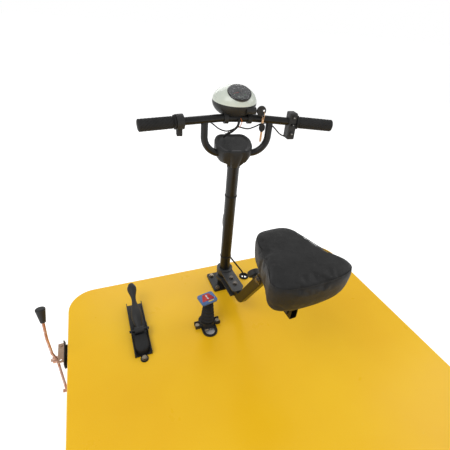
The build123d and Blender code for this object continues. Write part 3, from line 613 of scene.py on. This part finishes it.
def closedTube(line, radius, roundSteps=8):
    rings = []
    count = len(line)
    for index, place in enumerate(line):
        ahead = (line[(index + 1) % count] - line[index - 1]).normalized()
        side = ahead.cross(Vector((0, 0, 1))).normalized()
        up = ahead.cross(side)
        turn = [2 * pi * step / roundSteps for step in range(roundSteps)]
        rings.append([place + side * radius * cos(angle) + up * radius * sin(angle) for angle in turn])
    return rings


# ---- handlebar grips ----

gripShape = {"radius": 0.0182, "ridge": 0.0014, "strands": 13, "crossings": 10.5, "flangeLip": 0.0042}
barLine = {"flat": 0.060, "half": 0.319, "sweep": 0.047, "drop": 0.011, "height": 1.303}


def barPoint(x):
    share = (abs(x) - barLine["flat"]) / (barLine["half"] - barLine["flat"])
    return Vector((x, -barLine["sweep"] * share, barLine["height"] - barLine["drop"] * share))


def makeGrip(name, node, inner, outer, body):
    length = abs(outer - inner)

    def radiusAt(share, angle):
        along = share * length
        if along < 0.006:
            return gripShape["radius"] + gripShape["flangeLip"] * min(1, along / 0.0015 + 0.5)
        if along < 0.0105:
            return gripShape["radius"] - 0.0004
        left = length - along
        if left < 0.007:
            return gripShape["radius"] + 0.001 - 0.0045 * max(0, 1 - left / 0.004) ** 2
        phase = gripShape["strands"] * angle + gripShape["crossings"] * 2 * pi * share
        rope = sqrt(abs(sin(phase / 2)))
        return gripShape["radius"] - gripShape["ridge"] + 1.7 * gripShape["ridge"] * rope

    rings = turnedRings(barPoint(inner), barPoint(outer), radiusAt, 110, 132)
    grip = ringsPiece(name, rings, finishes["black_rubber"])
    finishPiece(grip, body, steerTurn, smoothAngle=60)
    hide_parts(node)


# ---- stem cover ----

coverShape = {"bottom": 1.139, "shoulder": 1.194, "top": 1.232, "tilt": 16, "narrow": 0.76, "shift": -0.004}
coverHalf = [(48, 60), (66, 30), (64, -12), (44, -45)]
coverFolds = {"angles": (-122, -58), "depth": 0.0125, "width": 0.19, "lift": 0.016}


def coverReach(angle):
    # distance from the cover's middle to its outline in one direction
    corners = [(x / 1000, y / 1000) for x, y in coverHalf]
    corners += [(-x, y) for x, y in reversed(corners)]
    look = (cos(angle), sin(angle))
    best = 1.0
    for (ax, ay), (bx, by) in zip(corners, corners[1:] + corners[:1]):
        nx, ny = -(by - ay), bx - ax
        size = hypot(nx, ny)
        nx, ny = nx / size, ny / size
        offset = ax * nx + ay * ny
        facing = look[0] * nx + look[1] * ny
        if offset < 0:
            offset, facing = -offset, -facing
        if facing > 1e-6:
            best = min(best, offset / facing)
    return best


def makeStemCover():
    steps = 144
    angles = [2 * pi * step / steps for step in range(steps)]
    sharp = [coverReach(angle) for angle in angles]
    reach = [sum(sharp[(i + k) % steps] for k in range(-4, 5)) / 9 for i in range(steps)]
    slope = tan(radians(coverShape["tilt"]))
    low, shoulder = coverShape["bottom"], coverShape["shoulder"]

    def ring(height, grow, fold, inset=0.0, sink=0.0):
        made = []
        for angle, far in zip(angles, reach):
            dent = 0
            for middle in coverFolds["angles"]:
                away = (degrees(angle) - middle + 180) % 360 - 180
                dent += coverFolds["depth"] * fold * 2.718 ** (-(radians(away) / coverFolds["width"]) ** 2)
            far = far * grow - dent - inset
            x, y = far * cos(angle), far * sin(angle)
            top = coverShape["top"] - (0.060 - y) * slope - sink
            z = low + (shoulder - low) * height if height <= 1 else shoulder + (top - shoulder) * (height - 1)
            # the side lobes end higher than the middle one
            aside = min(1, max(0, (abs(x) - 0.016) / 0.016))
            z += coverFolds["lift"] * aside * max(0, 1 - height) ** 1.5
            made.append(Vector((x + coverShape["shift"], y, z)))
        return made

    narrow = coverShape["narrow"]
    column = [Vector((0.0265 * cos(angle), 0.0265 * sin(angle), low + 0.004)) for angle in angles]
    rings = [column, ring(0, narrow - 0.06, 0.8), ring(0, narrow - 0.015, 0.9), ring(0.03, narrow, 1)]
    for step in range(1, 10):
        share = step / 9
        grow = narrow + (1 - narrow) * (1 - (1 - share) ** 1.7)
        rings.append(ring(share, grow, 1 - 0.75 * share))
    rings += [ring(1.5, 1.0, 0.15), ring(1.86, 1.0, 0.1), ring(1.96, 1.0, 0.08, 0.001),
              ring(2, 1.0, 0.05, 0.003), ring(2, 1.0, 0.02, 0.010, 0.0), ring(2, 1.0, 0, 0.0115, 0.0012),
              ring(2, 0.7, 0, 0, 0.0012), ring(2, 0.35, 0, 0, 0.0010), ring(2, 0.05, 0, 0, 0.001)]
    cover = ringsPiece("stemCover", rings, finishes["moulded_plastic"], capStart=False)
    finishPiece(cover, "steering", steerTurn, smoothAngle=50)
    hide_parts("stem_cover")
    print("stem cover made")


# ---- dial ----

dialShape = {"centre": (-0.002, -0.00318, 1.38307), "tilt": 26, "radius": 0.0385}


def dialPlace(lift):
    tilt = Matrix.Rotation(radians(dialShape["tilt"]), 4, "X")
    return steerTurn @ Matrix.Translation(dialShape["centre"]) @ tilt @ Matrix.Translation((0, 0, lift))


def makeDial():
    pale = printInk("dialPrint", (0.75, 0.76, 0.79))
    glow = printInk("dialLamps", (0.10, 0.35, 0.12))
    radius = dialShape["radius"]
    marks = []
    for step in range(25):
        angle = radians(215 - step * 250 / 24)
        inner = 0.70 if step % 4 == 0 else 0.78
        marks.append((angle, inner, 0.86, 0.0011 if step % 4 == 0 else 0.0006))
    points, faces = [], []
    place = dialPlace(0.0003)
    for angle, inner, outer, width in marks:
        look, side = Vector((cos(angle), sin(angle), 0)), Vector((-sin(angle), cos(angle), 0))
        base = len(points)
        for reach, hand in ((inner, -1), (outer, -1), (outer, 1), (inner, 1)):
            points.append(place @ (look * reach * radius + side * hand * width / 2))
        faces.append((base, base + 1, base + 2, base + 3))
    finishPiece(meshPiece("dialTicks", points, faces, pale), "steering")
    for number in range(0, 7):
        angle = radians(215 - number * 250 / 6)
        curve = bpy.data.curves.new(f"dialNumber{number}", "FONT")
        curve.body = str(number * 10)
        curve.size = 0.0068
        curve.align_x, curve.align_y = "CENTER", "CENTER"
        curve.extrude = 0.00012
        mark = bpy.data.objects.new(f"dialNumber{number}", curve)
        bpy.context.scene.collection.objects.link(mark)
        view = bpy.context.evaluated_depsgraph_get()
        mesh = bpy.data.meshes.new_from_object(mark.evaluated_get(view))
        bpy.data.objects.remove(mark)
        digits = bpy.data.objects.new(f"dialDigits{number}", mesh)
        mesh.materials.clear()
        mesh.materials.append(pale)
        reach = 0.57 * radius
        mesh.transform(place @ Matrix.Translation((reach * cos(angle), reach * sin(angle), 0)))
        finishPiece(digits, "steering")
    needle = [(-0.0011, -0.006), (0.0011, -0.006), (0.0004, 0.026), (-0.0004, 0.026)]
    lean = Matrix.Rotation(radians(118), 4, "Z")
    red = printInk("needlePaint", (0.55, 0.05, 0.02))
    pointer = platePiece("dialNeedle", needle, 0.0006, red, dialPlace(0.0016) @ lean)
    finishPiece(pointer, "steering")
    round24 = [(cos(2 * pi * i / 24), sin(2 * pi * i / 24)) for i in range(24)]
    hub = [(0.0042 * x, 0.0042 * y) for x, y in round24]
    boss = platePiece("dialHub", hub, 0.0026, finishes["moulded_plastic"], dialPlace(0.0004))
    finishPiece(boss, "steering", smoothAngle=40)
    window = [(-0.011, -0.027), (0.011, -0.027), (0.011, -0.0195), (-0.011, -0.0195)]
    lcdGrey = printInk("lcdGrey", (0.30, 0.33, 0.30))
    finishPiece(platePiece("dialWindow", window, 0.0003, lcdGrey, place), "steering")
    for index, across in enumerate((-0.016, 0.016)):
        lamp = [(across + 0.0018 * x, -0.0135 + 0.0018 * y) for x, y in round24]
        finishPiece(platePiece(f"dialLamp{index}", lamp, 0.0005, glow, place), "steering")
    # bevel ring and a shallow clear dome over the face
    ringLine = [(radius * 1.0 * cos(2 * pi * i / 72), radius * 1.0 * sin(2 * pi * i / 72)) for i in range(72)]
    rimProfile = [(0.966, 0.0), (0.966, 0.0028), (0.99, 0.0036), (1.012, 0.0028), (1.016, -0.001)]
    rings = [[dialPlace(height) @ Vector((x * grow, y * grow, 0)) for x, y in ringLine]
             for grow, height in rimProfile]
    bezel = ringsPiece("dialBezel", rings, finishes["moulded_plastic"], False, False)
    finishPiece(bezel, "steering")
    domeRings = []
    for step in range(9):
        share = step / 8
        grow = 0.97 * cos(share * pi / 2) + 0.001
        height = 0.0026 + 0.0034 * sin(share * pi / 2)
        domeRings.append([dialPlace(height) @ Vector((x * grow, y * grow, 0)) for x, y in ringLine])
    dome = ringsPiece("dialDome", domeRings, finishes["lamp_glass"], False, True)
    finishPiece(dome, "steering")
    print("dial made")


# ---- gear selector ----

gearShape = {"axis": (-0.144, -0.198), "low": 0.588, "high": 0.689, "folds": 6, "fold": 0.0072,
             "wide": 0.0275, "slim": 0.0188}


def makeBellows():
    def radiusAt(share, angle):
        body = gearShape["wide"] + (gearShape["slim"] - gearShape["wide"]) * share
        wave = 0.5 - 0.5 * cos(2 * pi * gearShape["folds"] * share)
        return body - gearShape["fold"] * (1 - wave ** 0.7)

    x, y = gearShape["axis"]
    rings = turnedRings((x, y, gearShape["low"]), (x, y, gearShape["high"]), radiusAt, 96, 48)
    bellows = ringsPiece("gearBoot", rings, finishes["black_rubber"])
    finishPiece(bellows, None)
    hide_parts("gear_bellows")
    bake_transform(bellows)
    print("gear boot made")


def gearMarkPlace():
    spin = Matrix.Rotation(radians(11), 4, "Z")
    return Matrix.Translation((-0.149, -0.198, 0.70605)) @ spin


def makeGearMarks():
    # a plain two-way arrow on a red field: forward and back
    red = printInk("markRed", (0.62, 0.03, 0.02))
    white = printInk("markWhite", (0.85, 0.86, 0.88))
    yellow = printInk("markYellow", (0.85, 0.55, 0.03))
    place = gearMarkPlace()
    field = [(-0.026, -0.012), (0.025, -0.012), (0.016, 0.020), (-0.011, 0.020)]
    finishPiece(platePiece("gearMarkField", field, 0.0003, red, place), "gear")
    arrow = [(-0.0016, -0.003), (-0.0046, -0.003), (0, -0.009), (0.0046, -0.003), (0.0016, -0.003),
             (0.0016, 0.009), (0.0046, 0.009), (0, 0.015), (-0.0046, 0.009), (-0.0016, 0.009)]
    raised = place @ Matrix.Translation((0.001, 0.001, 0.0003))
    finishPiece(platePiece("gearMarkArrow", arrow, 0.0003, white, raised), "gear")
    bar = [(-0.004, -0.020), (0.018, -0.020), (0.018, -0.015), (-0.004, -0.015)]
    finishPiece(platePiece("gearMarkBar", bar, 0.0003, yellow, place), "gear")
    dot = [(0.0265 + 0.0016 * cos(i * pi / 8), -0.009 + 0.0016 * sin(i * pi / 8)) for i in range(16)]
    finishPiece(platePiece("gearMarkDot", dot, 0.0003, white, place), "gear")
    print("gear marks made")


# ---- tyres ----

tyreShape = {"treadDepth": 0.006, "blocks": 54, "shoulder": 0.30}


def makeTyre(name, node, centre, radius, width, rim, body, turn=level):
    steps = tyreShape["blocks"] * 6
    profile = []
    for index in range(25):
        share = index / 24
        angle = pi * (share - 0.5)
        across = width / 2 * sin(angle) * (1 - 0.10 * cos(angle) ** 2) * 1.0
        reach = rim + (radius - rim) * cos(angle) ** 0.42 if 0 < index < 24 else rim
        profile.append((across, reach))
    rings = []
    for step in range(steps):
        angle = 2 * pi * step / steps
        ring = []
        for index, (across, reach) in enumerate(profile):
            side = abs(across) / (width / 2)
            phase = step + (3 if across > 0 else 0) + int(side * 3)
            groove = phase % 6 < 2 and side > 0.12 and reach > radius - 0.028
            middle = side < 0.07
            cut = tyreShape["treadDepth"] if (groove or middle) and reach > radius - 0.028 else 0
            far = reach - cut
            spoke = Vector((across, far * cos(angle), far * sin(angle)))
            ring.append(Vector(centre) + spoke)
        rings.append(ring)
    tyre = ringsPiece(name, rings, finishes["tyre_rubber"], loop=True)
    finishPiece(tyre, body, turn, smoothAngle=35)
    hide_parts(node)


# ---- small fittings ----

wireShape = {
    "radius": 0.0011,
    "path": [(0.007, -0.014, 1.306), (0.010, -0.021, 1.298), (0.007, -0.022, 1.286), (0.001, -0.025, 1.280)],
}
loomTie = {"middle": (-0.0225, 0.0145, 1.2475), "along": (-0.014, 0.026, -0.018), "half": 0.0022,
           "radius": 0.0054, "tail": 0.0009}


def makeSmallFittings():
    orange = printInk("orangeWire", (0.75, 0.20, 0.02))
    wirePiece = tubeAlong("orangeWire", wireShape["path"], wireShape["radius"], orange)
    finishPiece(wirePiece, "steering", steerTurn)
    bandPlace = Vector(loomTie["middle"])
    reach = Vector(loomTie["along"]).normalized() * loomTie["half"]
    rings = turnedRings(bandPlace - reach, bandPlace + reach, lambda share, angle: loomTie["radius"], 2, 20)
    band = ringsPiece("loomTie", rings, finishes["moulded_plastic"])
    finishPiece(band, "steering", steerTurn, smoothAngle=40)
    tailSteps = [(-0.003, -0.004, 0), (-0.012, -0.008, 0.002), (-0.019, -0.009, 0.006)]
    tailLine = [bandPlace + Vector(step) for step in tailSteps]
    tail = tubeAlong("loomTieTail", tailLine, loomTie["tail"], finishes["moulded_plastic"])
    finishPiece(tail, "steering", steerTurn)
    pale = printInk("switchMarks", (0.36, 0.36, 0.36))
    x, y, z = barPoint(0.184)
    face = y - 0.019
    marks = {"hornMark": ("horn", 0.018, 0.0042, -0.0042), "lampMark": ("lamp", -0.036, 0.0046, -0.0042),
             "sliderMark": ("slider", -0.006, 0.0030, -0.0048)}
    for name, (body, drop, size, out) in marks.items():
        frameTurn = Matrix.Rotation(radians(90), 4, "X")
        place = steerTurn @ Matrix.Translation((x, face + out, z + drop)) @ frameTurn
        ring = []
        for step in range(20):
            angle = 2 * pi * step / 20
            ring.append((size * 0.75 * cos(angle), size * 0.45 * sin(angle)))
        finishPiece(platePiece(name, ring, 0.0002, pale, place), body)
    print("small fittings made")


def spareKeyFinish():
    # steel blade and ring with a black moulded bow between two heights
    material, shader = newMaterial("spareKeyFinish", 0.35, metallic=0.6)
    place = addNode(material, "ShaderNodeTexCoord")
    split = addNode(material, "ShaderNodeSeparateXYZ")
    wire(material, place.outputs["Object"], split.inputs["Vector"])
    spread = addNode(material, "ShaderNodeMapRange")
    spread.inputs["From Min"].default_value = 1.2
    spread.inputs["From Max"].default_value = 1.35
    wire(material, split.outputs["Z"], spread.inputs["Value"])
    brass = [(0.3, (0.55, 0.32, 0.16)), (0.7, (0.75, 0.50, 0.30))]
    mottle = ramp(material, noiseField(material, 90, 5), brass)
    black = ramp(material, noiseField(material, 60, 4), [(0.3, grey(0.01)), (0.7, grey(0.02))])
    bowZone = ramp(material, spread.outputs["Result"],
                   [(0.42, grey(0)), (0.43, grey(1)), (0.615, grey(1)), (0.625, grey(0))])
    wire(material, mixColours(material, bowZone, mottle, black), shader.inputs["Base Color"])
    roughnessFrom(material, shader, noiseField(material, 150, 4), 0.25, 0.5)
    addBump(material, shader, noiseField(material, 400, 3), 0.0002, 0.3)
    return material


makeCamera()
makeLights()
makeFloor()
finishCadNodes()
ownFinish = {
    "spare_key": spareKeyFinish(),
    "side_bracket": metalPaint("bracketPaint", grey(0.008), grey(0.02), 0.45, 0.05),
    "side_strip": platedSteel("stripSteel", (0.36, 0.24, 0.16), (0.62, 0.46, 0.34), (0.50, 0.30, 0.20)),
    "gear_gate": metalPaint("gatePaint", grey(0.62), grey(0.78), 0.5, 0.1),
    "seat_bolts": platedSteel("darkBolts", (0.10, 0.09, 0.08), (0.24, 0.21, 0.18)),
    "deck_bolts": platedSteel("deckBolts", (0.20, 0.17, 0.12), (0.40, 0.35, 0.26), (0.32, 0.25, 0.18)),
}
for name, material in ownFinish.items():
    cadNodes[name].data.materials[0] = material
makeSaddle()
makeGrip("throttleGripSleeve", "throttle_grip", -0.208, -0.3238, "throttle")
makeGrip("rightGripSleeve", "right_grip", 0.200, 0.3238, "steering")
print("grips made")
makeStemCover()
makeDial()
makeBellows()
makeGearMarks()
makeTyre("frontTyreTread", "front_tyre", (0, 0, 0.2), 0.2, 0.090, 0.127, "front_wheel", steerTurn)
makeTyre("leftTyreTread", "left_tyre", (-0.56, -1.4, 0.225), 0.225, 0.100, 0.152, "left_wheel")
makeTyre("rightTyreTread", "right_tyre", (0.56, -1.4, 0.225), 0.225, 0.100, 0.152, "right_wheel")
print("tyres made")
makeSmallFittings()
